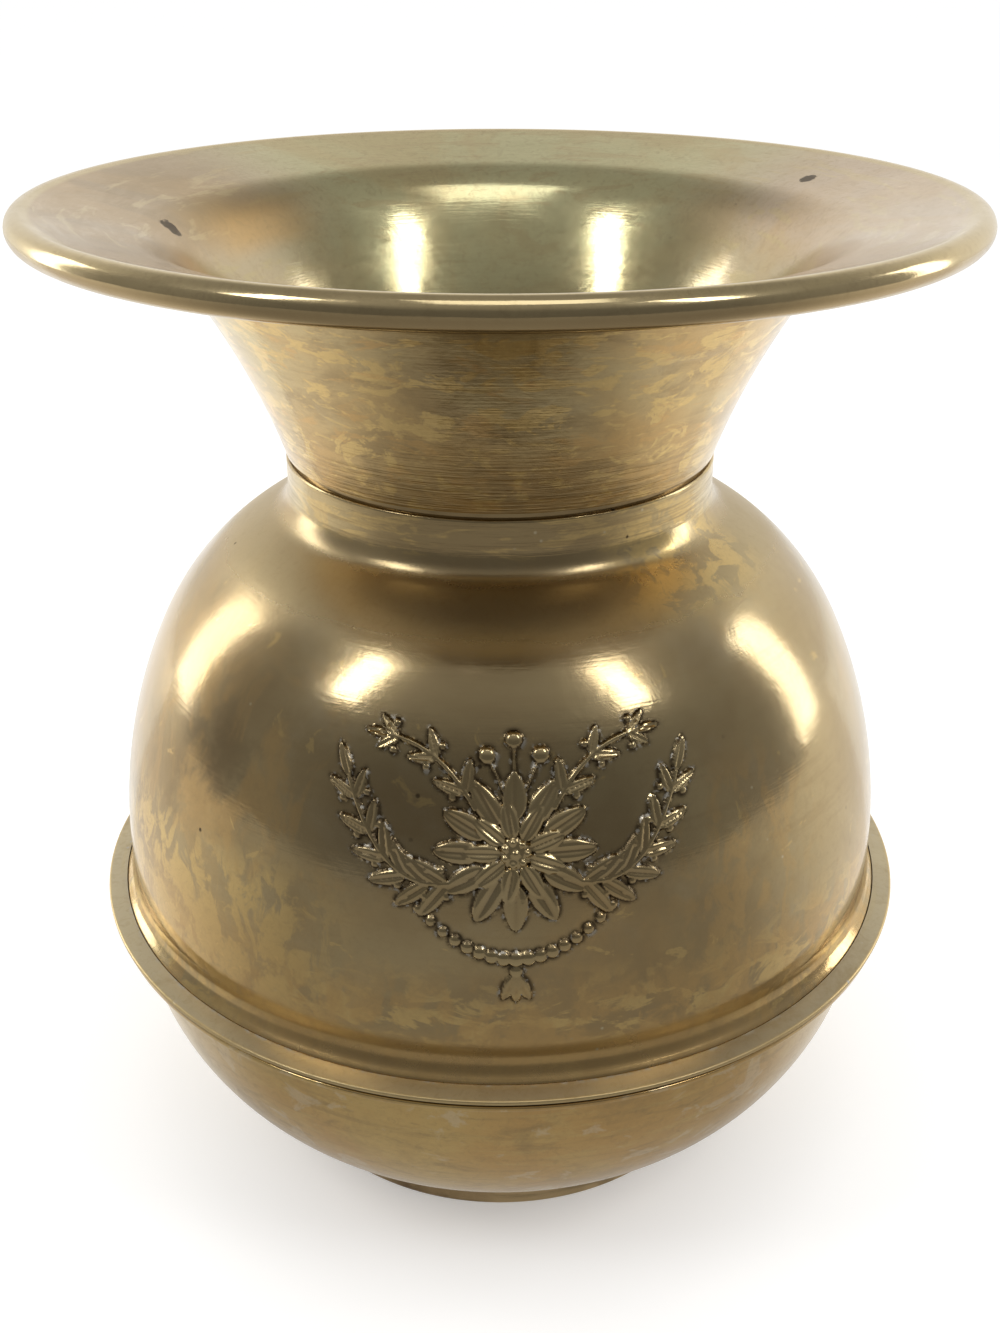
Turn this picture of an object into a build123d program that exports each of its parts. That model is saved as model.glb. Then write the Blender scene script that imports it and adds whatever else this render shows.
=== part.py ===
from build123d import *
import math
import os

# A brass spittoon, 267 mm tall and 234 mm across its rim. Two spun shells meet at a waist band
# and stand on a foot ring. A flared top, rolled over a wire at its rim, plugs into the neck.
# Millimetres and degrees, +Z up, with the origin on the axis in the plane of the foot.
# Each piece is a profile turned about the Z axis, drawn with X as the radius and Y as the
# height. A lean is measured from the vertical, a rise or a slope from the horizontal.

# Fits
solder_gap = 0.05
slip_gap = 0.05

# Foot ring
foot_radius = 68.4
foot_width = 6.0
foot_round = 0.8

# Lower bowl
bowl_sheet = 1.5
bowl_clearance = 1.5
bowl_curve = 71.8
bowl_step = 0.5
flange_rise = 4.4
flange_hollow = 1.5
flange_inset = 0.9
flange_round = 0.6

# Waist band
band_width = 5.1
band_height = 1.8
band_step = 7.8
band_slope = 7.0
band_lift = 1.3
band_round = 0.5

# Upper shell
shell_sheet = 1.5
belly_radius = 106.5
flank_curve = 137.2
shoulder_curve = 72.5
shoulder_rise = 26.0
tuck_curve = 16.0
tuck_rise = 15.0
cove_curve = 8.2
skirt_step = 0.5
skirt_rise = 45.0
skirt_bend = 0.3
neck_radius = 56.06
collar_hollow = 9.0
collar_height = 7.4
collar_round = 0.7

# Neck joint
socket_wall = 1.55
socket_length = 14.0
socket_chamfer = 0.5
plug_wall = 1.9
plug_length = 13.0
plug_chamfer = 1.0
spigot_rise = 6.0
spigot_grip = 6.5

# Flared top
top_sheet = 1.2
neck_gap = 1.6
flare_lean = 17.9
flare_curve = 187.0
flare_end = 34.2
bend_curve = 20.0
brim_rise = 16.0
rim_radius = 117.1
wire_radius = 2.25
roll_end = -170.0


def polar(centre, distance, angle):
    """The point at a distance and an angle from a centre."""
    return centre + Vector(distance, 0).rotate(Axis.Z, angle)


def arc(centre, radius, start, end):
    """The arc about a centre from one angle to another."""
    return CenterArc(centre, radius, start, end - start)


def sheet_profile(face, sheet):
    """The section of a spun sheet between its outside and the same face one sheet further in."""
    outside = face(0)
    inside = face(sheet)
    first_edge = Line(outside[0] @ 0, inside[0] @ 0)
    last_edge = Line(outside[-1] @ 1, inside[-1] @ 1)
    return make_face(outside + [last_edge] + inside + [first_edge])


def corner(profile, point):
    """The corner of a profile that lies nearest to a point."""
    return profile.vertices().sort_by_distance(point)[0]


def turned(profile):
    """The solid that a profile sweeps about the Z axis."""
    return revolve(Plane.XZ * profile, Axis.Z)


# Heights and centres, from the floor up
bowl_radius = belly_radius + bowl_step
bowl_centre = Vector(bowl_radius - bowl_curve, bowl_clearance + bowl_curve)
flange_top = bowl_centre.Y + flange_rise
hollow_height = flange_top - bowl_sheet - flange_hollow
hollow_rise = math.degrees(math.asin((hollow_height - bowl_centre.Y) / (bowl_curve + flange_hollow)))
hollow_centre = polar(bowl_centre, bowl_curve + flange_hollow, hollow_rise)
band_foot = flange_top + band_lift
band_top = band_foot + band_height
band_radius = belly_radius + band_step
band_bore = band_radius - band_width
flange_radius = band_radius - flange_inset
skirt_radius = band_bore - solder_gap
fold_curve = skirt_bend + shell_sheet
fold_height = band_top + skirt_step - fold_curve * math.sin(math.radians(skirt_rise))
fold_centre = Vector(skirt_radius - fold_curve, fold_height)
fold_start = polar(fold_centre, fold_curve, skirt_rise)
cove_drop = polar(Vector(belly_radius - tuck_curve, 0), tuck_curve + cove_curve, -tuck_rise)
cove_end = polar(cove_drop, cove_curve, 180 + skirt_rise)
skirt_drop = (fold_start.X - cove_end.X) * math.tan(math.radians(skirt_rise))
belly_height = fold_start.Y + skirt_drop - cove_end.Y
tuck_centre = Vector(belly_radius - tuck_curve, belly_height)
cove_centre = polar(tuck_centre, tuck_curve + cove_curve, -tuck_rise)
flank_centre = Vector(belly_radius - flank_curve, belly_height)
shoulder_centre = polar(flank_centre, flank_curve - shoulder_curve, shoulder_rise)
collar_reach = neck_radius + collar_hollow - shoulder_centre.X
collar_rise = math.degrees(math.acos(collar_reach / (shoulder_curve + collar_hollow)))
collar_centre = polar(shoulder_centre, shoulder_curve + collar_hollow, collar_rise)
neck_top = collar_centre.Y + collar_height
bore_radius = neck_radius - shell_sheet - solder_gap - socket_wall
flare_edge = Vector(neck_radius, neck_top + neck_gap)
flare_centre = polar(flare_edge, flare_curve, -flare_lean)
bend_centre = polar(flare_centre, flare_curve - bend_curve, 180 - flare_end)
curl_radius = wire_radius + solder_gap
lip_radius = rim_radius - top_sheet - curl_radius
brim_start = polar(bend_centre, bend_curve, 90 + brim_rise)
brim_span = lip_radius - brim_start.X - curl_radius * math.sin(math.radians(brim_rise))
brim_end = polar(brim_start, brim_span / math.cos(math.radians(brim_rise)), brim_rise)
lip_centre = polar(brim_end, curl_radius, brim_rise - 90)


def make_foot_ring():
    """The ring under the bowl, with its top shaped to the bowl's wall."""
    seat = bowl_curve + solder_gap
    inner = foot_radius - foot_width
    start = -math.degrees(math.acos((foot_radius - bowl_centre.X) / seat))
    end = -math.degrees(math.acos((inner - bowl_centre.X) / seat))
    top = arc(bowl_centre, seat, start, end)
    sides = Polyline(top @ 1, (inner, 0), (foot_radius, 0), top @ 0)
    profile = make_face([top, sides])
    feet = [corner(profile, (inner, 0)), corner(profile, (foot_radius, 0))]
    return turned(fillet(feet, foot_round))


def bowl_face(depth):
    """The bowl at a depth in its sheet: flat bottom, round wall, hollow corner and flange."""
    bottom = bowl_clearance + depth
    flange = flange_top - bowl_sheet + depth
    return [
        Line((0, bottom), (bowl_centre.X, bottom)),
        arc(bowl_centre, bowl_curve - depth, -90, hollow_rise),
        arc(hollow_centre, flange_hollow + depth, 180 + hollow_rise, 90),
        Line((hollow_centre.X, flange), (flange_radius, flange)),
    ]


def make_lower_bowl():
    """The spun lower half, whose flange carries the upper shell."""
    profile = sheet_profile(bowl_face, bowl_sheet)
    upper = corner(profile, (flange_radius, flange_top))
    lower = corner(profile, (flange_radius, flange_top - bowl_sheet))
    return turned(fillet([upper, lower], flange_round))


def make_waist_band():
    """The flat hoop round the upper shell's skirt, whose top slopes down outward."""
    edge_top = band_top - band_width * math.tan(math.radians(band_slope))
    outer_foot = (band_radius, band_foot)
    outer_top = (band_radius, edge_top)
    inner_top = (band_bore, band_top)
    inner_foot = (band_bore, band_foot)
    profile = make_face(Polyline(outer_foot, outer_top, inner_top, inner_foot, close=True))
    edges = [corner(profile, outer_foot), corner(profile, outer_top)]
    return turned(fillet(edges, band_round))


def shell_face(depth):
    """The upper shell at a depth in its sheet, from the collar's mouth to the skirt's foot."""
    collar = neck_radius - depth
    skirt = skirt_radius - depth
    cove = arc(cove_centre, cove_curve + depth, 180 - tuck_rise, 180 + skirt_rise)
    fold = arc(fold_centre, fold_curve - depth, skirt_rise, 0)
    return [
        Line((collar, neck_top), (collar, collar_centre.Y)),
        arc(collar_centre, collar_hollow + depth, 180, 180 + collar_rise),
        arc(shoulder_centre, shoulder_curve - depth, collar_rise, shoulder_rise),
        arc(flank_centre, flank_curve - depth, shoulder_rise, 0),
        arc(tuck_centre, tuck_curve - depth, 0, -tuck_rise),
        cove,
        Line(cove @ 1, fold @ 0),
        fold,
        Line((skirt, fold_centre.Y), (skirt, flange_top)),
    ]


def make_upper_shell():
    """The spun upper half: collar, shoulder, belly, flared cove and turned-down skirt."""
    profile = sheet_profile(shell_face, shell_sheet)
    mouth = corner(profile, (neck_radius, neck_top))
    return turned(fillet([mouth], collar_round))


def make_neck_socket():
    """The ring inside the collar, bored for the spigot, with a chamfered mouth."""
    outer = bore_radius + socket_wall
    foot = neck_top - socket_length
    corners = [(bore_radius, foot), (outer, foot), (outer, neck_top), (bore_radius, neck_top)]
    profile = make_face(Polyline(*corners, close=True))
    return turned(chamfer(corner(profile, corners[-1]), socket_chamfer))


def make_neck_spigot():
    """The ring in the top's lower end: a plug below a shoulder, and a seat that follows the flare."""
    plug = bore_radius - slip_gap
    bore = plug - plug_wall
    foot = neck_top - plug_length
    seat_curve = flare_curve + top_sheet + solder_gap
    seat_end = math.degrees(math.asin((flare_edge.Y + spigot_grip - flare_centre.Y) / seat_curve))
    seat = arc(flare_centre, seat_curve, 180 - flare_lean, 180 - seat_end)
    shoulder = (seat @ 0).X
    body = Polyline(
        seat @ 1,
        (bore, neck_top + spigot_rise),
        (bore, foot),
        (plug, foot),
        (plug, neck_top),
        (shoulder, neck_top),
        seat @ 0,
    )
    profile = make_face([seat, body])
    return turned(chamfer(corner(profile, (plug, foot)), plug_chamfer))


def top_face(depth):
    """The flared top at a depth in its sheet, from the neck over the brim and round the lip."""
    normal = 90 + brim_rise
    return [
        arc(flare_centre, flare_curve + depth, 180 - flare_lean, 180 - flare_end),
        arc(bend_centre, bend_curve + depth, 180 - flare_end, normal),
        Line(polar(brim_start, depth, normal), polar(brim_end, depth, normal)),
        arc(lip_centre, curl_radius + depth, normal, roll_end),
    ]


def make_flared_top():
    """The spun funnel and brim, with its edge rolled over and under the rim wire."""
    return turned(sheet_profile(top_face, top_sheet))


def make_rim_wire():
    """The round wire inside the rolled lip."""
    return Pos(0, 0, lip_centre.Y) * Torus(lip_radius, wire_radius)


pieces = {
    "foot_ring": make_foot_ring(),
    "lower_bowl": make_lower_bowl(),
    "waist_band": make_waist_band(),
    "upper_shell": make_upper_shell(),
    "neck_socket": make_neck_socket(),
    "neck_spigot": make_neck_spigot(),
    "flared_top": make_flared_top(),
    "rim_wire": make_rim_wire(),
}

os.makedirs("parts", exist_ok=True)
for name, solid in pieces.items():
    export_step(solid, f"parts/{name}.step")
print(f"rim height {lip_centre.Y + curl_radius + top_sheet:.2f} mm, neck seam at {neck_top:.2f} mm")
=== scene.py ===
import math
import bmesh
import bpy
import numpy as np
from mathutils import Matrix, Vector


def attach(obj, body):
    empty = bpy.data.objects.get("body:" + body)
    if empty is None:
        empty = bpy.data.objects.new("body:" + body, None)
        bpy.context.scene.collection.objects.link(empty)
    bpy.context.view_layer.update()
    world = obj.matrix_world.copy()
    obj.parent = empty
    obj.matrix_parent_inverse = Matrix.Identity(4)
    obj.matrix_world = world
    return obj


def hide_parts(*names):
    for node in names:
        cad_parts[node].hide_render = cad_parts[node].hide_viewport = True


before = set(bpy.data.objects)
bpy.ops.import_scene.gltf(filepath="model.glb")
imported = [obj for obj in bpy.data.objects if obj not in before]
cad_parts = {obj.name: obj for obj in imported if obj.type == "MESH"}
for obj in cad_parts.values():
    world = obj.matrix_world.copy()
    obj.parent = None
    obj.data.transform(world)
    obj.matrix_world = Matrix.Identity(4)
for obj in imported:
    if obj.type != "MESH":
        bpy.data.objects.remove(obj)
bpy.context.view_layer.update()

# A brass spittoon, dressed as fine lathe meshes with a relief on the front of the upper shell.
# Profiles are in millimetres and degrees, radius and height, and meshes are scaled to metres.
# Azimuth 0 is the front, at -Y, and positive azimuths go towards +X.
MM = 0.001

# Fits
solder_gap = 0.05

# Foot ring and lower bowl
foot_radius = 68.4
foot_width = 6.0
foot_round = 0.8
bowl_sheet = 1.5
bowl_clearance = 1.5
bowl_curve = 71.8
bowl_step = 0.5
flange_rise = 4.4
flange_hollow = 1.5
flange_inset = 0.9
flange_round = 0.6

# Waist band
band_width = 5.1
band_height = 1.8
band_step = 7.8
band_slope = 7.0
band_lift = 1.3
band_round = 0.5

# Upper shell
shell_sheet = 1.5
belly_radius = 106.5
flank_curve = 137.2
shoulder_curve = 72.5
shoulder_rise = 26.0
# The belly's lower edge, drawn softer than the solid's by up to half a millimetre
tuck_curve = 52.0
tuck_rise = 7.0
cove_curve = 6.9
skirt_step = 0.5
skirt_rise = 45.0
skirt_bend = 0.3
neck_radius = 56.06
collar_hollow = 9.0
collar_height = 7.4
collar_round = 0.7

# Flared top
top_sheet = 1.2
neck_gap = 1.6
flare_lean = 17.9
flare_curve = 187.0
flare_end = 34.2
bend_curve = 20.0
brim_rise = 16.0
rim_radius = 117.1
wire_radius = 2.25
roll_end = -170.0

# Mesh steps
weld_distance = solder_gap / 10
arc_turn = 6.0
arc_step = 1.5
round_turn = 18.0
column_turn = 1.5
relief_step = 0.35

# Ornament, on a ground measured along the shell from its centre
ornament_azimuth = 2.0
ornament_rise = 46.0
ornament_half_width = 52.0
ornament_half_height = 42.0
groove_width_share = 0.15
cleft_fade = 0.7
cleft_overlap = 0.35
# Rings of petals: count, start, length, width, height and turn
petal_rings = ((12, 7.5, 11.0, 6.0, 1.1, 0.0), (9, 3.4, 8.6, 5.0, 1.5, 20.0))


def sine(angle):
    return math.sin(math.radians(angle))


def cosine(angle):
    return math.cos(math.radians(angle))


def polar(centre, distance, angle):
    """The point at a distance and an angle from a centre, in the profile plane."""
    return np.array(centre) + distance * np.array((cosine(angle), sine(angle)))


def arc(centre, radius, start, end, step=arc_step, turn=arc_turn):
    """Points along an arc, close enough for smooth shading."""
    length = abs(math.radians(end - start)) * radius
    count = max(2, math.ceil(length / step), math.ceil(abs(end - start) / turn))
    return [polar(centre, radius, start + (end - start) * i / count) for i in range(count + 1)]


def line(start, end, step=arc_step):
    """Points along a straight run."""
    start, end = np.array(start), np.array(end)
    count = max(1, math.ceil(np.linalg.norm(end - start) / step))
    return [start + (end - start) * i / count for i in range(count + 1)]


def rounded(before, corner, after, radius):
    """The points of a small arc in the corner between two straight edges."""
    before, corner, after = (np.array(point) for point in (before, corner, after))
    u = (before - corner) / np.linalg.norm(before - corner)
    v = (after - corner) / np.linalg.norm(after - corner)
    half = math.acos(np.dot(u, v)) / 2
    centre = corner + (u + v) / np.linalg.norm(u + v) * radius / math.sin(half)
    first = corner + u * radius / math.tan(half) - centre
    last = corner + v * radius / math.tan(half) - centre
    start = math.degrees(math.atan2(first[1], first[0]))
    turn = math.degrees(math.atan2(last[1], last[0])) - start
    turn = (turn + 180) % 360 - 180
    return arc(centre, radius, start, start + turn, turn=round_turn)


# Heights and centres, from the floor up
bowl_radius = belly_radius + bowl_step
bowl_centre = np.array((bowl_radius - bowl_curve, bowl_clearance + bowl_curve))
flange_top = bowl_centre[1] + flange_rise
hollow_height = flange_top - bowl_sheet - flange_hollow
hollow_rise = math.degrees(math.asin((hollow_height - bowl_centre[1]) / (bowl_curve + flange_hollow)))
hollow_centre = polar(bowl_centre, bowl_curve + flange_hollow, hollow_rise)
band_foot = flange_top + band_lift
band_top = band_foot + band_height
band_radius = belly_radius + band_step
band_bore = band_radius - band_width
flange_radius = band_radius - flange_inset
skirt_radius = band_bore - solder_gap
fold_curve = skirt_bend + shell_sheet
fold_height = band_top + skirt_step - fold_curve * sine(skirt_rise)
fold_centre = (skirt_radius - fold_curve, fold_height)
fold_start = polar(fold_centre, fold_curve, skirt_rise)
cove_drop = polar((belly_radius - tuck_curve, 0), tuck_curve + cove_curve, -tuck_rise)
cove_end = polar(cove_drop, cove_curve, 180 + skirt_rise)
skirt_drop = (fold_start[0] - cove_end[0]) * math.tan(math.radians(skirt_rise))
belly_height = fold_start[1] + skirt_drop - cove_end[1]
tuck_centre = (belly_radius - tuck_curve, belly_height)
cove_centre = polar(tuck_centre, tuck_curve + cove_curve, -tuck_rise)
flank_centre = (belly_radius - flank_curve, belly_height)
shoulder_centre = polar(flank_centre, flank_curve - shoulder_curve, shoulder_rise)
collar_reach = neck_radius + collar_hollow - shoulder_centre[0]
collar_rise = math.degrees(math.acos(collar_reach / (shoulder_curve + collar_hollow)))
collar_centre = polar(shoulder_centre, shoulder_curve + collar_hollow, collar_rise)
neck_top = collar_centre[1] + collar_height
flare_edge = (neck_radius, neck_top + neck_gap)
flare_centre = polar(flare_edge, flare_curve, -flare_lean)
bend_centre = polar(flare_centre, flare_curve - bend_curve, 180 - flare_end)
curl_radius = wire_radius + solder_gap
lip_radius = rim_radius - top_sheet - curl_radius
brim_start = polar(bend_centre, bend_curve, 90 + brim_rise)
brim_span = lip_radius - brim_start[0] - curl_radius * sine(brim_rise)
brim_end = polar(brim_start, brim_span / cosine(brim_rise), brim_rise)
lip_centre = polar(brim_end, curl_radius, brim_rise - 90)


def shell_face(depth, flank_step):
    """The upper shell at a depth in its sheet, from the collar's mouth to the skirt's foot."""
    collar = neck_radius - depth
    skirt = skirt_radius - depth
    cove = arc(cove_centre, cove_curve + depth, 180 - tuck_rise, 180 + skirt_rise)
    fold = arc(fold_centre, fold_curve - depth, skirt_rise, 0, turn=round_turn)
    return [
        line((collar, neck_top), (collar, collar_centre[1])),
        arc(collar_centre, collar_hollow + depth, 180, 180 + collar_rise),
        arc(shoulder_centre, shoulder_curve - depth, collar_rise, shoulder_rise, flank_step),
        arc(flank_centre, flank_curve - depth, shoulder_rise, 0, flank_step),
        arc(tuck_centre, tuck_curve - depth, 0, -tuck_rise),
        cove,
        line(cove[-1], fold[0]),
        fold,
        line((skirt, fold_centre[1]), (skirt, flange_top)),
    ]


def bowl_face(depth):
    """The bowl at a depth in its sheet: flat bottom, round wall, hollow corner and flange."""
    bottom = bowl_clearance + depth
    flange = flange_top - bowl_sheet + depth
    return [
        line((0, bottom), (bowl_centre[0], bottom)),
        arc(bowl_centre, bowl_curve - depth, -90, hollow_rise),
        arc(hollow_centre, flange_hollow + depth, 180 + hollow_rise, 90, turn=round_turn),
        line((hollow_centre[0], flange), (flange_radius - flange_round, flange)),
    ]


def top_face(depth):
    """The flared top at a depth in its sheet, from the neck over the brim and round the lip."""
    normal = 90 + brim_rise
    return [
        arc(flare_centre, flare_curve + depth, 180 - flare_lean, 180 - flare_end),
        arc(bend_centre, bend_curve + depth, 180 - flare_end, normal),
        line(polar(brim_start, depth, normal), polar(brim_end, depth, normal)),
        arc(lip_centre, curl_radius + depth, normal, roll_end),
    ]


def joined(runs):
    """One list of points from runs that follow each other, without the repeated ends."""
    points = [np.array(point) for run in runs for point in run]
    kept = [points[0]]
    for point in points[1:]:
        if np.linalg.norm(point - kept[-1]) > weld_distance:
            kept.append(point)
    return kept


def even_columns():
    """Azimuths of the columns of a plain lathe mesh."""
    return np.radians(np.arange(-180, 180, column_turn))


def shell_columns():
    """Azimuths of the upper shell's columns, close together across the ornament."""
    half = math.degrees(ornament_half_width / (belly_radius - ornament_half_height / 2))
    near = math.degrees(relief_step / belly_radius)
    first, last = ornament_azimuth - half, ornament_azimuth + half
    dense = np.linspace(first, last, math.ceil((last - first) / near) + 1)
    rest = np.linspace(last, first + 360, math.ceil((360 - last + first) / column_turn) + 1)[1:-1]
    return np.radians(np.append(dense, rest))


def lathe(name, profile, columns, closed, lift=None):
    """A mesh turned from a profile; lift moves each vertex, as rows by columns of offsets."""
    outline = np.array(profile)
    rows, turns = len(outline), len(columns)
    radius = outline[:, 0][:, None]
    x = radius * np.sin(columns)
    y = -radius * np.cos(columns)
    z = np.repeat(outline[:, 1][:, None], turns, axis=1)
    points = np.stack((x, y, z), axis=-1)
    if lift is not None:
        points += lift
    index = np.arange(rows * turns).reshape(rows, turns)
    last = rows if closed else rows - 1
    upper = np.arange(last)
    lower = (upper + 1) % rows
    right = np.roll(np.arange(turns), -1)
    faces = np.stack((index[upper], index[upper][:, right], index[lower][:, right], index[lower]), axis=-1)
    mesh = bpy.data.meshes.new(name)
    mesh.from_pydata((points.reshape(-1, 3) * MM).tolist(), [], faces.reshape(-1, 4).tolist())
    mesh.update()
    piece = bpy.data.objects.new(name, mesh)
    bpy.context.scene.collection.objects.link(piece)
    return piece


class Relief:
    """A height map on a ground of places across and up, made of domed shapes."""

    def __init__(self, across, up):
        self.across, self.up = across, up
        self.height = np.zeros_like(across)
        self.edge = np.full_like(across, -10.0)

    def merge(self, edge, dome):
        """Adds a shape from its distance inside the edge and its height there."""
        self.height = np.where(edge > 0, np.maximum(self.height, dome), self.height)
        self.edge = np.maximum(self.edge, edge)

    def bead(self, x, y, radius, height):
        distance = np.hypot(self.across - x, self.up - y)
        self.merge(radius - distance, height * np.sqrt(np.clip(1 - (distance / radius) ** 2, 0, 1)))

    def leaf(self, x, y, length, width, angle, height, groove=0.5):
        """A pointed leaf or petal from its stalk, with a groove along the middle."""
        dx, dy = self.across - x, self.up - y
        along = (dx * cosine(angle) + dy * sine(angle)) / length
        aside = np.abs(dy * cosine(angle) - dx * sine(angle))
        half = width / 2 * np.sqrt(np.clip(np.sin(np.pi * np.clip(along, 0, 1) ** 0.8), 0, 1))
        dome = height * np.sqrt(np.clip(1 - (aside / np.maximum(half, 0.01)) ** 2, 0, 1))
        dome *= 1 - groove * np.exp(-(aside / (width * groove_width_share)) ** 2)
        beyond = np.maximum(-along, along - 1) * length
        self.merge(np.where(beyond > 0, -np.hypot(beyond, aside), half - aside), dome)

    def cord(self, places, width, height):
        """A round cord through a list of places."""
        distance = np.full_like(self.across, 1e3)
        for (ax, ay), (bx, by) in zip(places[:-1], places[1:]):
            length = (bx - ax) ** 2 + (by - ay) ** 2
            share = np.clip(((self.across - ax) * (bx - ax) + (self.up - ay) * (by - ay)) / length, 0, 1)
            near_x, near_y = ax + share * (bx - ax), ay + share * (by - ay)
            distance = np.minimum(distance, np.hypot(self.across - near_x, self.up - near_y))
        half = width / 2
        self.merge(half - distance, height * np.sqrt(np.clip(1 - (distance / half) ** 2, 0, 1)))


def curve_through(start, pull, end, count):
    """Places along a quadratic curve, with its direction in degrees at each."""
    share = np.linspace(0, 1, count)[:, None]
    start, pull, end = np.array(start), np.array(pull), np.array(end)
    places = (1 - share) ** 2 * start + 2 * share * (1 - share) * pull + share ** 2 * end
    heading = 2 * (1 - share) * (pull - start) + 2 * share * (end - pull)
    return places, np.degrees(np.arctan2(heading[:, 1], heading[:, 0]))


def draw_rosette(relief):
    """Two rings of petals round a berry-set button."""
    for count, start, length, width, height, turn in petal_rings:
        for i in range(count):
            angle = turn + 360 * i / count
            relief.leaf(start * cosine(angle), start * sine(angle), length, width, angle, height)
    relief.bead(0, 0, 4.0, 1.2)
    for i in range(7):
        relief.bead(2.6 * cosine(360 * i / 7), 2.6 * sine(360 * i / 7), 1.1, 1.55)
    relief.bead(0, 0, 1.3, 1.75)


def draw_branch(relief, side, start, pull, end, pairs, length):
    """A leafy stem to one side, with berries in the forks and a leaf at its tip."""
    start, pull, end = ((side * x, y) for x, y in (start, pull, end))
    places, headings = curve_through(start, pull, end, 25)
    relief.cord(places, 1.5, 0.8)
    for i in range(pairs):
        index = 3 + i * 19 // max(pairs - 1, 1)
        (x, y), heading = places[index], headings[index]
        size = length * (1 - 0.35 * i / pairs)
        for turn in (-40, 40):
            relief.leaf(x, y, size, size * 0.42, heading + turn, 0.95)
            berry = heading + 1.9 * turn
            relief.bead(x + 3.2 * cosine(berry), y + 3.2 * sine(berry), 1.05, 0.8)
    relief.leaf(places[-1][0], places[-1][1], length * 0.75, length * 0.3, headings[-1], 0.95)


def draw_swag(relief):
    """A string of graded beads that hangs in a curve, with a tassel at its middle."""
    places = curve_through((-25.0, -11.0), (0.0, -40.0), (25.0, -11.0), 19)[0]
    for i, (x, y) in enumerate(places):
        middle = 1 - abs(i - 9) / 9
        relief.bead(x, y, 1.15 + 0.85 * middle, 0.75 + 0.4 * middle)
    relief.bead(0, -28.6, 1.7, 1.0)
    for turn in (-26, 0, 26):
        relief.leaf(0, -29.4, 7.4, 3.4, turn - 90, 1.0)


def draw_sprig(relief):
    """Berries over the rosette on three short stalks."""
    for x, y in ((-6.0, 22.0), (0.0, 25.5), (6.0, 22.0)):
        relief.cord([(x * 0.4, 14.0), (x, y)], 1.0, 0.6)
        relief.bead(x, y, 2.1, 1.1)


def ornament_relief(outline, columns, rows):
    """Offsets of the shell's vertices, and marks for the ornament's clefts and height."""
    ground = outline[:rows]
    run = np.concatenate(([0.0], np.cumsum(np.linalg.norm(np.diff(ground, axis=0), axis=1))))
    widest = int(np.argmin(np.abs(ground[:, 1] - belly_height)))
    up = (run[widest] - run)[:, None] - ornament_rise
    across = ground[:, 0][:, None] * (columns - math.radians(ornament_azimuth))
    up = np.broadcast_to(up, across.shape)
    relief = Relief(across, up)
    draw_rosette(relief)
    for side in (-1, 1):
        draw_branch(relief, side, (11.0, -6.0), (30.0, -14.0), (38.0, 14.0), 6, 10.5)
        draw_branch(relief, side, (9.0, 10.0), (16.0, 24.0), (28.0, 25.0), 3, 8.0)
    draw_swag(relief)
    draw_sprig(relief)
    reach = (np.abs(across) < ornament_half_width) & (np.abs(up) < ornament_half_height)
    height = np.where(reach, relief.height, 0)
    fade = np.exp(-(np.minimum(relief.edge, 0) / cleft_fade) ** 2)
    cleft = np.where(reach, fade * (relief.edge < cleft_overlap), 0)
    along = np.gradient(ground, axis=0)
    along /= np.linalg.norm(along, axis=1)[:, None]
    out, rise = -along[:, 1][:, None], along[:, 0][:, None]
    offsets = np.zeros((len(outline), len(columns), 3))
    outward = height * out
    offsets[:rows] = np.stack((outward * np.sin(columns), -outward * np.cos(columns), height * rise), -1)
    marks = np.zeros((2, len(outline), len(columns)))
    marks[0, :rows], marks[1, :rows] = cleft, height
    return offsets, marks


def mark(piece, name, values):
    """Stores a value for each vertex under a name that a material can read."""
    layer = piece.data.attributes.new(name, "FLOAT", "POINT")
    layer.data.foreach_set("value", np.asarray(values, dtype=np.float32).ravel())


def finish_mesh(piece, crease=35.0):
    """Welds the pole of a lathe mesh, turns its faces outward and shades it smooth."""
    work = bmesh.new()
    work.from_mesh(piece.data)
    bmesh.ops.remove_doubles(work, verts=work.verts, dist=weld_distance * MM)
    bmesh.ops.recalc_face_normals(work, faces=work.faces)
    work.to_mesh(piece.data)
    work.free()
    piece.data.shade_smooth()
    piece.data.set_sharp_from_angle(angle=math.radians(crease))


def stage_mesh(name, verts, faces, material):
    """A floor or reflector card."""
    mesh = bpy.data.meshes.new(name)
    mesh.from_pydata(verts, [], faces)
    mesh.materials.append(material)
    card = bpy.data.objects.new(name, mesh)
    bpy.context.scene.collection.objects.link(card)
    return card


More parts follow.
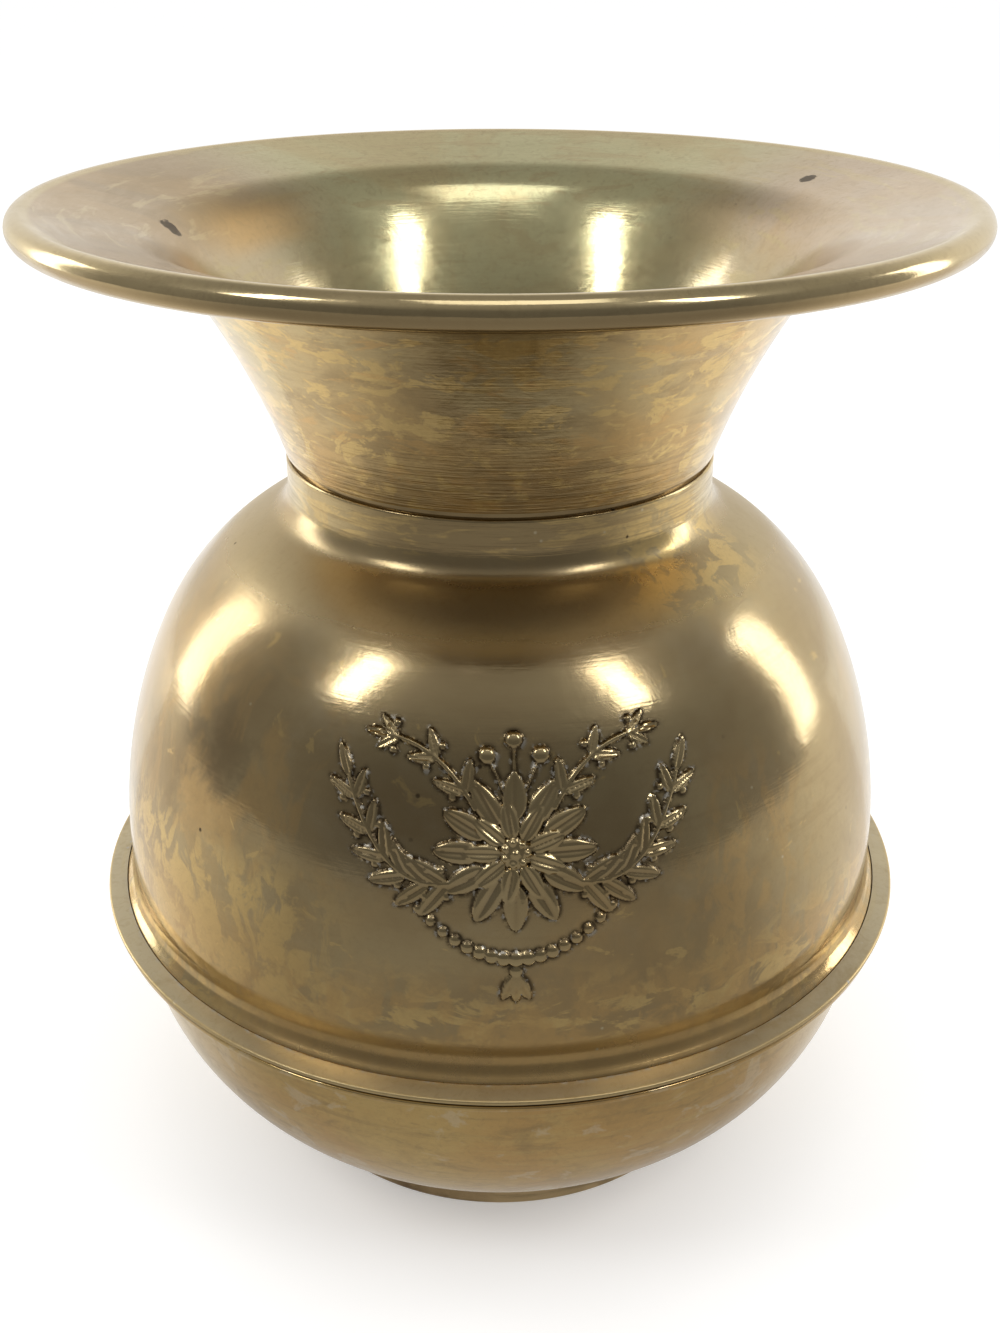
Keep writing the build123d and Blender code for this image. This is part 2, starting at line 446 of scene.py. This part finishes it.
class Graph:
    """A material's node tree, with a short call for each kind of node."""

    def __init__(self, name):
        self.material = bpy.data.materials.new(name)
        self.material.use_nodes = True
        self.tree = self.material.node_tree
        self.shader = self.tree.nodes["Principled BSDF"]

    def feed(self, socket, value):
        if isinstance(value, bpy.types.NodeSocket):
            self.tree.links.new(value, socket)
        else:
            socket.default_value = value

    def node(self, kind, **settings):
        made = self.tree.nodes.new("ShaderNode" + kind)
        for key, value in settings.items():
            setattr(made, key, value)
        return made

    def math(self, operation, a, b=0.0, c=0.0):
        made = self.node("Math", operation=operation)
        for socket, value in zip(made.inputs, (a, b, c)):
            self.feed(socket, value)
        return made.outputs[0]

    def both(self, a, b):
        """The product of two masks, which is 1 where both are."""
        return self.math("MULTIPLY", a, b)

    def noise(self, vector, scale, detail=4.0, roughness=0.55, distortion=0.0):
        made = self.node("TexNoise")
        self.feed(made.inputs["Vector"], vector)
        self.feed(made.inputs["Scale"], scale)
        self.feed(made.inputs["Detail"], detail)
        self.feed(made.inputs["Roughness"], roughness)
        self.feed(made.inputs["Distortion"], distortion)
        return made.outputs["Fac"]

    def cells(self, vector, scale):
        made = self.node("TexVoronoi")
        self.feed(made.inputs["Vector"], vector)
        self.feed(made.inputs["Scale"], scale)
        return made.outputs["Distance"]

    def step(self, value, low, high):
        """A soft step from 0 at low to 1 at high."""
        made = self.node("MapRange", interpolation_type="SMOOTHSTEP")
        self.feed(made.inputs["Value"], value)
        self.feed(made.inputs["From Min"], low)
        self.feed(made.inputs["From Max"], high)
        return made.outputs["Result"]

    def mix(self, factor, a, b):
        made = self.node("Mix", data_type="RGBA")
        self.feed(made.inputs["Factor"], factor)
        self.feed(made.inputs["A"], a)
        self.feed(made.inputs["B"], b)
        return made.outputs["Result"]

    def vector(self, x, y, z):
        made = self.node("CombineXYZ")
        for socket, value in zip(made.inputs, (x, y, z)):
            self.feed(socket, value)
        return made.outputs[0]

    def bump(self, height, strength, distance, normal=None):
        made = self.node("Bump")
        self.feed(made.inputs["Height"], height)
        self.feed(made.inputs["Strength"], strength)
        self.feed(made.inputs["Distance"], distance)
        if normal is not None:
            self.feed(made.inputs["Normal"], normal)
        return made.outputs["Normal"]

    def glow(self, colour, level):
        """Makes the material give off light instead of reflecting it."""
        self.tree.nodes.remove(self.shader)
        light = self.node("Emission")
        light.inputs["Color"].default_value = colour
        self.feed(light.inputs["Strength"], level)
        self.feed(self.tree.nodes["Material Output"].inputs["Surface"], light.outputs[0])
        return self.material

    def place(self):
        """The point on the object, with its azimuth, radius and height."""
        point = self.node("TexCoord").outputs["Object"]
        split = self.node("SeparateXYZ")
        self.feed(split.inputs[0], point)
        x, y, z = split.outputs
        azimuth = self.math("ARCTAN2", x, self.math("MULTIPLY", y, -1.0))
        radius = self.math("SQRT", self.math("ADD", self.math("MULTIPLY", x, x), self.math("MULTIPLY", y, y)))
        return point, azimuth, radius, z


def rgb(red, green, blue):
    return (red, green, blue, 1.0)


# Tones of the brass, as linear reflectances
olive = rgb(0.51, 0.41, 0.23)
umber = rgb(0.40, 0.30, 0.16)
ash = rgb(0.53, 0.46, 0.32)
gold = rgb(0.74, 0.55, 0.24)
tan = rgb(0.60, 0.41, 0.18)
straw = rgb(0.60, 0.49, 0.27)
pale = rgb(0.60, 0.52, 0.35)
rose = rgb(0.58, 0.47, 0.34)
moss = rgb(0.66, 0.63, 0.36)
fern = rgb(0.46, 0.42, 0.22)
amber = rgb(0.68, 0.45, 0.19)
cream = rgb(0.82, 0.72, 0.54)
deep = rgb(0.17, 0.11, 0.055)
oxide = rgb(0.07, 0.05, 0.03)
crust = rgb(0.62, 0.60, 0.54)

# The rougher second lobe that gives highlights their halo: what it adds, and its share
haze_rough = 0.20
haze_share = 0.18


class Brass(Graph):
    """Aged brass, built up in layers of tone, roughness and fine relief."""

    def __init__(self, name, base, second, spread=11.0):
        super().__init__(name)
        self.point, self.azimuth, self.radius, self.height = self.place()
        self.shader.inputs["Metallic"].default_value = 1.0
        slow = self.step(self.noise(self.point, spread, 4.0, 0.6, 0.6), 0.36, 0.64)
        self.tone = self.mix(slow, base, second)
        self.rough = self.math("MULTIPLY_ADD", self.noise(self.point, 70.0, 5.0, 0.65), 0.10, 0.08)
        self.normal = self.bump(self.noise(self.point, 45.0, 2.0), 0.5, 0.0002)

    def window(self, value, low, high, soft):
        """1 between two limits, with soft edges."""
        return self.both(self.step(value, low - soft, low + soft), self.step(value, high + soft, high - soft))

    def area(self, azimuths, heights, soft_azimuth=8.0, soft_height=0.008):
        """1 in a part of the surface, given by azimuths in degrees and heights in metres."""
        turn = self.window(self.azimuth, *(math.radians(a) for a in azimuths), math.radians(soft_azimuth))
        return self.math("MULTIPLY", turn, self.window(self.height, *heights, soft_height))

    def stretched(self, around, along):
        """Places for marks drawn out around the axis, in cycles per radian and per metre."""
        return self.vector(
            self.math("MULTIPLY", self.azimuth, around),
            self.math("MULTIPLY", self.radius, along),
            self.math("MULTIPLY", self.height, along),
        )

    def layer(self, mask, tone, rough=0.0, share=1.0):
        """Lays a tone over the surface where a mask is 1, and makes it rougher or smoother there."""
        factor = self.math("MULTIPLY", mask, share)
        self.tone = self.mix(factor, self.tone, tone)
        self.rough = self.math("MULTIPLY_ADD", factor, rough, self.rough)

    def film(self, tone, scale, limits, rough, share):
        self.layer(self.step(self.noise(self.point, scale, 6.0, 0.68, 0.4), *limits), tone, rough, share)

    def rubbed(self, tone, around, along, limits, within=None, share=1.0, rough=-0.04):
        mask = self.step(self.noise(self.stretched(around, along), 1.0, 6.0, 0.62, 0.7), *limits)
        if within is not None:
            mask = self.math("MULTIPLY", mask, within)
        self.layer(mask, tone, rough, share)

    def specks(self, tone, scale, size, cover, rough=0.25):
        """Small round spots in loose groups."""
        dots = self.step(self.cells(self.point, scale), size, size * 0.5)
        groups = self.step(self.noise(self.point, scale * 0.16, 3.0), cover, cover + 0.08)
        self.layer(self.math("MULTIPLY", dots, groups), tone, rough)

    def stain(self, azimuth, radius, spread, size, tone):
        """One ragged dark spot at an azimuth in degrees and a radius in metres."""
        turn = self.math("SUBTRACT", self.azimuth, math.radians(azimuth))
        dx = self.math("DIVIDE", turn, math.radians(spread))
        dy = self.math("DIVIDE", self.math("SUBTRACT", self.radius, radius), size)
        squares = self.math("ADD", self.math("MULTIPLY", dx, dx), self.math("MULTIPLY", dy, dy))
        distance = self.math("SQRT", squares)
        ragged = self.math("MULTIPLY_ADD", self.noise(self.point, 260.0, 4.0, 0.7), 1.4, distance)
        self.layer(self.step(ragged, 1.65, 1.45), tone, 0.25, 0.85)

    def brushed(self, amount):
        """Draws highlights out across the marks that polishing left round the axis."""
        around = self.node("Tangent", direction_type="RADIAL", axis="Z")
        self.feed(self.shader.inputs["Tangent"], around.outputs[0])
        self.shader.inputs["Anisotropic"].default_value = amount

    def ringed(self, mask, shade, share):
        """Clear turning lines where a mask is 1."""
        lines = self.step(self.noise(self.stretched(2.0, 1100.0), 1.0, 3.0, 0.7), 0.42, 0.66)
        self.layer(self.math("MULTIPLY", mask, lines), shade, 0.08, share)
        self.normal = self.bump(self.math("MULTIPLY", mask, lines), 0.5, 0.00005, self.normal)

    def turned(self, strength, shade):
        """Fine lines round the axis from turning and polishing."""
        lines = self.noise(self.stretched(5.0, 1500.0), 1.0, 3.0, 0.6)
        coarse = self.noise(self.stretched(3.0, 420.0), 1.0, 4.0, 0.6)
        self.layer(self.step(coarse, 0.5, 0.72), shade, 0.0, 0.35)
        self.normal = self.bump(lines, strength, 0.00003, self.normal)

    def scratched(self, strength):
        """Grain, wiping marks and dents in all directions."""
        grain = self.step(self.noise(self.point, 380.0, 4.0, 0.75, 1.2), 0.46, 0.72)
        self.layer(grain, umber, 0.06, 0.3)
        marks = self.noise(self.point, 260.0, 4.0, 0.7, 1.6)
        self.normal = self.bump(marks, strength, 0.00004, self.normal)
        self.normal = self.bump(self.noise(self.point, 120.0, 3.0, 0.6, 0.8), strength, 0.00012, self.normal)

    def done(self):
        """Joins the layers to the shader and lays the rougher lobe over it."""
        self.feed(self.shader.inputs["Base Color"], self.tone)
        self.feed(self.shader.inputs["Roughness"], self.rough)
        self.feed(self.shader.inputs["Normal"], self.normal)
        haze = self.node("BsdfPrincipled")
        haze.inputs["Metallic"].default_value = 1.0
        self.feed(haze.inputs["Base Color"], self.tone)
        self.feed(haze.inputs["Roughness"], self.math("ADD", self.rough, haze_rough))
        self.feed(haze.inputs["Normal"], self.normal)
        blend = self.node("MixShader")
        blend.inputs["Fac"].default_value = haze_share
        self.feed(blend.inputs[1], self.shader.outputs[0])
        self.feed(blend.inputs[2], haze.outputs[0])
        self.feed(self.tree.nodes["Material Output"].inputs["Surface"], blend.outputs[0])
        return self.material

    def stored(self, name):
        return self.node("Attribute", attribute_name=name).outputs["Fac"]


def shell_finish():
    """The upper shell: olive and umber, rubbed gold low on the belly, the collar's front darker than its back
    as painted shade, and the cove's front lightened as painted light.
    """
    brass = Brass("brass_shell_finish", olive, umber)
    brass.brushed(0.45)
    brass.turned(0.5, umber)
    brass.film(ash, 30.0, (0.48, 0.72), 0.04, 0.35)
    brass.film(umber, 16.0, (0.46, 0.62), 0.03, 0.65)
    brass.film(tan, 9.0, (0.50, 0.66), 0.0, 0.5)
    smudge = brass.area((-56, -36), (0.128, 0.156), 6, 0.008)
    patchy = brass.step(brass.noise(brass.point, 40.0, 5.0, 0.7), 0.42, 0.6)
    brass.layer(brass.both(smudge, patchy), deep, 0.1, 0.4)
    low = brass.step(brass.height, 0.116, 0.094)
    brass.rubbed(gold, 9.0, 150.0, (0.49, 0.57), low, 0.8)
    brass.rubbed(tan, 14.0, 90.0, (0.44, 0.58), low, 0.75)
    brass.rubbed(gold, 16.0, 90.0, (0.44, 0.54), brass.area((-70, -24), (0.084, 0.126)), 0.85)
    brass.layer(brass.area((-62, -28), (0.086, 0.112), 12, 0.01), amber, 0.05, 0.4)
    brass.rubbed(tan, 16.0, 90.0, (0.46, 0.60), brass.area((24, 46), (0.088, 0.150)), 0.5)
    brass.rubbed(tan, 6.0, 40.0, (0.48, 0.62), brass.area((-64, -20), (0.120, 0.168), 10, 0.012), 0.6)
    brass.rubbed(gold, 9.0, 130.0, (0.64, 0.69), None, 0.5)
    brass.layer(brass.window(brass.height, 0.177, 0.189, 0.005), olive, 0.26, 0.7)
    collar = brass.step(brass.height, 0.190, 0.194)
    brass.layer(collar, straw, 0.04, 0.75)
    front = brass.window(brass.azimuth, math.radians(-38), math.radians(38), math.radians(14))
    # Painted light: the cove below the belly is lightened with tan at the front, against the shade of its
    # crease.
    cove = brass.step(brass.height, 0.0950, 0.0875)
    brass.layer(brass.both(cove, front), tan, 0.16, 0.8)
    # Painted shade: the collar's front is darkened with umber, so its back reads brighter.
    brass.layer(brass.both(collar, front), umber, 0.04, 0.7)
    brass.rubbed(gold, 8.0, 140.0, (0.44, 0.52), brass.area((30, 66), (0.180, 0.199), 8, 0.004), 0.85)
    brass.rubbed(gold, 4.0, 260.0, (0.50, 0.60), collar, 0.6)
    brass.ringed(collar, umber, 0.7)
    brass.specks(oxide, 170.0, 0.12, 0.60)
    brass.specks(pale, 210.0, 0.11, 0.58, -0.02)
    brass.scratched(0.35)
    brass.layer(brass.step(brass.stored("relief_height"), 0.35, 1.1), straw, -0.02, 0.45)
    cleft = brass.stored("relief_cleft")
    worn = brass.step(brass.noise(brass.point, 420.0, 3.0), 0.30, 0.52)
    brass.layer(brass.both(cleft, worn), oxide, 0.22, 0.9)
    salt = brass.step(brass.noise(brass.point, 640.0, 3.0), 0.56, 0.62)
    brass.layer(brass.both(cleft, salt), crust, 0.2, 0.75)
    return brass.done()


def top_finish():
    """The flared top: brown with gold streaks outside, rose and moss tones inside the brim, a painted amber
    glint, and painted shade on the brim's left and under the lip's roll.
    """
    brass = Brass("brass_top_finish", straw, tan)
    brass.brushed(0.4)
    brass.turned(0.5, umber)
    brass.rubbed(umber, 3.0, 70.0, (0.46, 0.62), None, 0.6)
    brass.rubbed(gold, 6.0, 150.0, (0.52, 0.57), None, 0.85)
    brass.rubbed(gold, 7.0, 300.0, (0.57, 0.62), None, 0.6)
    brass.rubbed(amber, 5.0, 200.0, (0.55, 0.64), None, 0.6)
    brass.film(ash, 22.0, (0.56, 0.68), 0.05, 0.4)
    brass.ringed(brass.step(brass.height, 0.226, 0.206), umber, 0.5)
    inside = brass.stored("inner_face")
    back = brass.step(brass.math("ABSOLUTE", brass.azimuth), math.radians(115), math.radians(150))
    brass.layer(inside, rose, 0.03)
    brass.layer(brass.both(inside, back), moss, 0.0, 0.9)
    # Painted shade, partly a real darker smear: the left of the inner brim is darkened with umber and a
    # little deep brown.
    left = brass.area((-125, -50), (0.250, 0.268), 16, 0.006)
    brass.layer(brass.both(inside, left), umber, 0.04, 0.85)
    brass.layer(brass.both(inside, left), deep, 0.0, 0.15)
    clouds = brass.step(brass.noise(brass.point, 14.0, 5.0, 0.62, 0.8), 0.44, 0.62)
    brass.layer(brass.both(inside, clouds), tan, 0.02, 0.35)
    rubs = brass.step(brass.noise(brass.stretched(4.0, 190.0), 1.0, 5.0, 0.6, 0.5), 0.54, 0.62)
    brass.layer(brass.both(inside, rubs), straw, -0.03, 0.5)
    brass.layer(brass.both(inside, brass.step(brass.height, 0.254, 0.242)), fern, 0.0, 0.35)
    # Painted highlight: an amber glint inside the brim at the left back.
    painted_glint = brass.both(inside, brass.area((-134, -108), (0.246, 0.256), 8, 0.003))
    brass.layer(painted_glint, amber, 0.03, 0.65)
    lip = brass.both(inside, brass.step(brass.radius, 0.1105, 0.1120))
    brass.layer(lip, straw, -0.02, 0.85)
    # Painted shade: the underside of the lip's roll is darkened with umber.
    under = brass.both(lip, brass.step(brass.height, 0.2645, 0.2625))
    brass.layer(under, umber, 0.06, 0.8)
    brass.stain(-94.0, 0.0830, 2.6, 0.0026, oxide)
    brass.stain(119.0, 0.0965, 1.5, 0.0026, oxide)
    brass.specks(oxide, 170.0, 0.10, 0.62)
    brass.scratched(0.3)
    return brass.done()


def bowl_finish():
    """The lower bowl: golden brown in front, pale cream at the sides and back as a painted reflection of the
    pale floor, darker tan towards the bottom as painted shade, finely streaked.
    """
    brass = Brass("brass_bowl_finish", gold, amber)
    brass.turned(0.5, umber)
    brass.rubbed(gold, 7.0, 240.0, (0.48, 0.64), None, 0.5)
    brass.rubbed(umber, 6.0, 190.0, (0.54, 0.70), None, 0.45, 0.08)
    # Painted reflection: the bowl's sides and back are paled with cream, as the pale floor mirrored there.
    sides = brass.step(brass.math("ABSOLUTE", brass.azimuth), math.radians(30), math.radians(60))
    brass.layer(sides, cream, 0.04, 0.85)
    # Painted shade: the bowl is darker tan towards the bottom.
    brass.layer(brass.step(brass.height, 0.050, 0.010), tan, 0.05, 0.4)
    brass.film(umber, 26.0, (0.52, 0.66), 0.04, 0.4)
    brass.rubbed(cream, 8.0, 90.0, (0.56, 0.62), None, 0.4)
    brass.specks(oxide, 170.0, 0.12, 0.60)
    brass.scratched(0.35)
    return brass.done()


def band_finish():
    """The waist band: pale, dull brass, with a crust along its inner edge in front."""
    brass = Brass("brass_band_finish", pale, ash)
    brass.rough = brass.math("ADD", brass.rough, 0.26)
    brass.turned(0.3, straw)
    brass.film(umber, 34.0, (0.50, 0.68), 0.06, 0.5)
    brass.film(crust, 110.0, (0.60, 0.72), 0.16, 0.35)
    brass.layer(brass.step(brass.radius, 0.1135, 0.1141), gold, -0.06, 0.6)
    inner = brass.step(brass.radius, 0.1103, 0.1094)
    ragged = brass.step(brass.noise(brass.point, 300.0, 4.0, 0.7), 0.50, 0.60)
    front = brass.window(brass.azimuth, math.radians(-70), math.radians(40), math.radians(20))
    brass.layer(brass.both(brass.both(inner, ragged), front), crust, 0.3, 0.8)
    brass.specks(crust, 210.0, 0.16, 0.50, 0.2)
    brass.specks(oxide, 170.0, 0.17, 0.58)
    brass.scratched(0.5)
    return brass.done()


def dark_finish(name):
    """The foot ring, the neck's inner rings and the rim wire: dark brown as painted shade where they lie in
    shadow, and hardly polished.
    """
    brass = Brass(name, deep, umber)
    brass.turned(0.5, oxide)
    brass.film(oxide, 40.0, (0.50, 0.72), 0.12, 0.5)
    brass.specks(oxide, 160.0, 0.2, 0.55)
    brass.scratched(0.4)
    return brass.done()


def dress(piece, node, body, material):
    """Puts a finished piece in a CAD node's place."""
    finish_mesh(piece)
    piece.data.materials.append(material)
    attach(piece, body)
    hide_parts(node)


def build_foot_ring(material):
    seat = bowl_curve + solder_gap
    inner = foot_radius - foot_width
    start = -math.degrees(math.acos((foot_radius - bowl_centre[0]) / seat))
    end = -math.degrees(math.acos((inner - bowl_centre[0]) / seat))
    top = arc(bowl_centre, seat, start, end)
    profile = joined([
        top,
        rounded(top[-1], (inner, 0), (foot_radius, 0), foot_round),
        rounded((inner, 0), (foot_radius, 0), top[0], foot_round),
    ])
    piece = lathe("foot_ring_turned", profile, even_columns(), True)
    dress(piece, "foot_ring", "vessel", material)


def build_lower_bowl(material):
    upper = (flange_radius, flange_top)
    lower = (flange_radius, flange_top - bowl_sheet)
    profile = joined(
        bowl_face(0)
        + [rounded((hollow_centre[0], lower[1]), lower, upper, flange_round)]
        + [rounded(lower, upper, (hollow_centre[0], upper[1]), flange_round)]
        + [run[::-1] for run in bowl_face(bowl_sheet)[::-1]]
    )
    piece = lathe("lower_bowl_spun", profile, even_columns(), False)
    dress(piece, "lower_bowl", "vessel", material)


def build_waist_band(material):
    edge_top = band_top - band_width * math.tan(math.radians(band_slope))
    outer_foot, outer_top = (band_radius, band_foot), (band_radius, edge_top)
    inner_top, inner_foot = (band_bore, band_top), (band_bore, band_foot)
    profile = joined([
        rounded(inner_foot, outer_foot, outer_top, band_round),
        rounded(outer_foot, outer_top, inner_top, band_round),
        [inner_top, inner_foot],
    ])
    piece = lathe("waist_band_hoop", profile, even_columns(), True)
    dress(piece, "waist_band", "vessel", material)


def build_upper_shell(material):
    outside = shell_face(0, relief_step)
    inside = shell_face(shell_sheet, arc_step)
    mouth = (neck_radius, neck_top)
    inner_mouth = (neck_radius - shell_sheet, neck_top)
    outside[0] = rounded(inner_mouth, mouth, (neck_radius, collar_centre[1]), collar_round) + outside[0][1:]
    rows = len(joined(outside))
    profile = np.array(joined(outside + [run[::-1] for run in inside[::-1]]))
    columns = shell_columns()
    offsets, (cleft, height) = ornament_relief(profile, columns, rows)
    shell = lathe("upper_shell_spun", profile, columns, True, offsets)
    mark(shell, "relief_cleft", cleft)
    mark(shell, "relief_height", height)
    dress(shell, "upper_shell", "vessel", material)


def build_flared_top(material):
    outside = joined(top_face(0))
    profile = joined([outside] + [run[::-1] for run in top_face(top_sheet)[::-1]])
    columns = even_columns()
    top = lathe("flared_top_spun", profile, columns, True)
    inner = np.repeat(np.arange(len(profile)) >= len(outside), len(columns))
    mark(top, "inner_face", inner)
    dress(top, "flared_top", "top", material)


# Studio, in metres and degrees
floor_size = 12.0
floor_tone = rgb(0.92, 0.92, 0.92)
floor_glow = 0.22
room_radius = 1.55
table_near = 0.072
lamp_distance = 1.25
look_at_height = 0.14
card_lift = 0.001
dome_turn = 6
dome_top = 89.9
table_turn = 4
table_half_turn = 120


def direction(azimuth, elevation):
    flat = cosine(elevation)
    return Vector((sine(azimuth) * flat, -cosine(azimuth) * flat, sine(elevation)))


def lamp(name, azimuth, elevation, width, height, radiance):
    """A soft box at a direction from the object, facing it, with a given brightness."""
    data = bpy.data.lights.new(name, "AREA")
    data.shape = "RECTANGLE"
    data.size = width
    data.size_y = height
    data.energy = radiance * math.pi * width * height
    box = bpy.data.objects.new(name, data)
    towards = direction(azimuth, elevation)
    box.location = Vector((0, 0, look_at_height)) + towards * lamp_distance
    box.rotation_euler = towards.to_track_quat("Z", "Y").to_euler()
    box.visible_camera = False
    bpy.context.scene.collection.objects.link(box)


def reflector(card):
    """Leaves a card to reflections alone, so that the metal has a room to mirror."""
    card.visible_camera = False
    card.visible_diffuse = False
    card.visible_shadow = False
    card.visible_transmission = False


def dome_finish():
    """The reflector's brightness: dark in front, dim at the sides, white behind, grey overhead."""
    g = Graph("dome_finish")
    _, azimuth, radius, height = g.place()
    turn = g.math("ABSOLUTE", azimuth)
    rise = g.math("ARCTAN2", height, radius)
    low = g.math("MULTIPLY_ADD", g.step(turn, math.radians(30), math.radians(80)), 0.13, 0.15)
    low = g.math("MULTIPLY_ADD", g.step(turn, math.radians(88), math.radians(128)), 0.72, low)
    high = g.step(rise, math.radians(28), math.radians(58))
    level = g.math("MULTIPLY_ADD", high, g.math("SUBTRACT", 0.33, low), low)
    return g.glow(rgb(1.0, 0.97, 0.92), level)


def table_finish():
    """The brightness of the table in front of the object, paler near it and at the sides."""
    g = Graph("table_finish")
    _, azimuth, radius, _ = g.place()
    turn = g.math("ABSOLUTE", azimuth)
    front = g.math("ADD", g.math("DIVIDE", 0.012, radius), 0.30)
    side = g.step(turn, math.radians(45), math.radians(112))
    level = g.math("MULTIPLY_ADD", side, g.math("SUBTRACT", 1.0, front), front)
    return g.glow(rgb(1.0, 0.95, 0.88), level)


def build_room():
    """A pale floor, and a dome and table cards that only the metal's reflections see."""
    g = Graph("pale_floor")
    g.shader.inputs["Base Color"].default_value = floor_tone
    g.shader.inputs["Roughness"].default_value = 0.9
    g.shader.inputs["Specular IOR Level"].default_value = 0.0
    path = g.node("LightPath")
    seen = g.math("MAXIMUM", path.outputs["Is Camera Ray"], path.outputs["Is Glossy Ray"])
    seen = g.math("MAXIMUM", seen, path.outputs["Is Transmission Ray"])
    g.shader.inputs["Emission Color"].default_value = rgb(1, 1, 1)
    g.feed(g.shader.inputs["Emission Strength"], g.math("MULTIPLY", seen, floor_glow))
    half = floor_size
    corners = [(-half, -half, 0), (half, -half, 0), (half, half, 0), (-half, half, 0)]
    stage_mesh("floor", corners, [(0, 1, 2, 3)], g.material)

    azimuths = np.arange(-180, 180, dome_turn)
    elevations = np.append(np.arange(0, 90, dome_turn), dome_top)
    verts = [tuple(direction(a, e) * room_radius) for e in elevations for a in azimuths]
    count = len(azimuths)
    faces = []
    for row in range(len(elevations) - 1):
        low, high = row * count, (row + 1) * count
        faces += [(low + i, low + (i + 1) % count, high + (i + 1) % count, high + i) for i in range(count)]
    reflector(stage_mesh("dome_card", verts, faces, dome_finish()))

    azimuths = np.arange(-table_half_turn, table_half_turn + 1, table_turn)
    lift = Vector((0, 0, card_lift))
    near = [tuple(direction(a, 0) * table_near + lift) for a in azimuths]
    far = [tuple(direction(a, 0) * room_radius + lift) for a in azimuths]
    count = len(azimuths)
    faces = [(i, i + 1, count + i + 1, count + i) for i in range(count - 1)]
    reflector(stage_mesh("table_card", near + far, faces, table_finish()))


def build_lamps():
    lamp("left_box", -113.5, 14, 0.30, 0.80, 3.6)
    lamp("right_box", 104, 14, 0.27, 0.80, 3.6)
    lamp("left_strip", -59, 46, 0.20, 0.42, 7.0)
    lamp("right_strip", 51, 47, 0.18, 0.42, 7.0)
    lamp("overhead", 8, 76, 0.55, 0.50, 1.5)


def build_world():
    """White for everything that sees the background, and plain sky light for the rest."""
    world = bpy.data.worlds.new("studio")
    bpy.context.scene.world = world
    world.use_nodes = True
    nodes, links = world.node_tree.nodes, world.node_tree.links
    path = nodes.new("ShaderNodeLightPath")
    seen = nodes.new("ShaderNodeMath")
    seen.operation = "MAXIMUM"
    links.new(path.outputs["Is Camera Ray"], seen.inputs[0])
    links.new(path.outputs["Is Glossy Ray"], seen.inputs[1])
    either = nodes.new("ShaderNodeMath")
    either.operation = "MAXIMUM"
    links.new(seen.outputs[0], either.inputs[0])
    links.new(path.outputs["Is Transmission Ray"], either.inputs[1])
    level = nodes.new("ShaderNodeMapRange")
    links.new(either.outputs[0], level.inputs["Value"])
    level.inputs["To Min"].default_value = 0.85
    level.inputs["To Max"].default_value = 1.0
    background = nodes["Background"]
    background.inputs["Color"].default_value = rgb(1, 1, 1)
    links.new(level.outputs["Result"], background.inputs["Strength"])


# Camera, from the photograph's perspective on a frame of 1000 by 1333 pixels
camera_focal_px = 1500.0
frame_long_px = 1333.0
sensor_size = 36.0
camera_distance = 0.380157
camera_height = 0.327201
camera_pitch = 26.68


def build_camera():
    data = bpy.data.cameras.new("camera")
    data.sensor_width = sensor_size
    data.lens = camera_focal_px * sensor_size / frame_long_px
    data.clip_start = 0.01
    camera = bpy.data.objects.new("camera", data)
    camera.location = (0, -camera_distance, camera_height)
    camera.rotation_euler = (math.radians(90 - camera_pitch), 0, 0)
    bpy.context.scene.collection.objects.link(camera)
    bpy.context.scene.camera = camera


# Painted shade: the foot ring, the neck rings and the rim wire are finished dark brown where they lie in
# shadow.
painted_shade_brass = dark_finish("brass_painted_shade_finish")

build_foot_ring(painted_shade_brass)
build_lower_bowl(bowl_finish())
build_waist_band(band_finish())
build_upper_shell(shell_finish())
build_flared_top(top_finish())
for node in ("neck_socket", "neck_spigot", "rim_wire"):
    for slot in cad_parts[node].material_slots:
        slot.material = painted_shade_brass

build_room()
build_lamps()
build_world()
build_camera()
bpy.context.scene.view_settings.view_transform = "Standard"
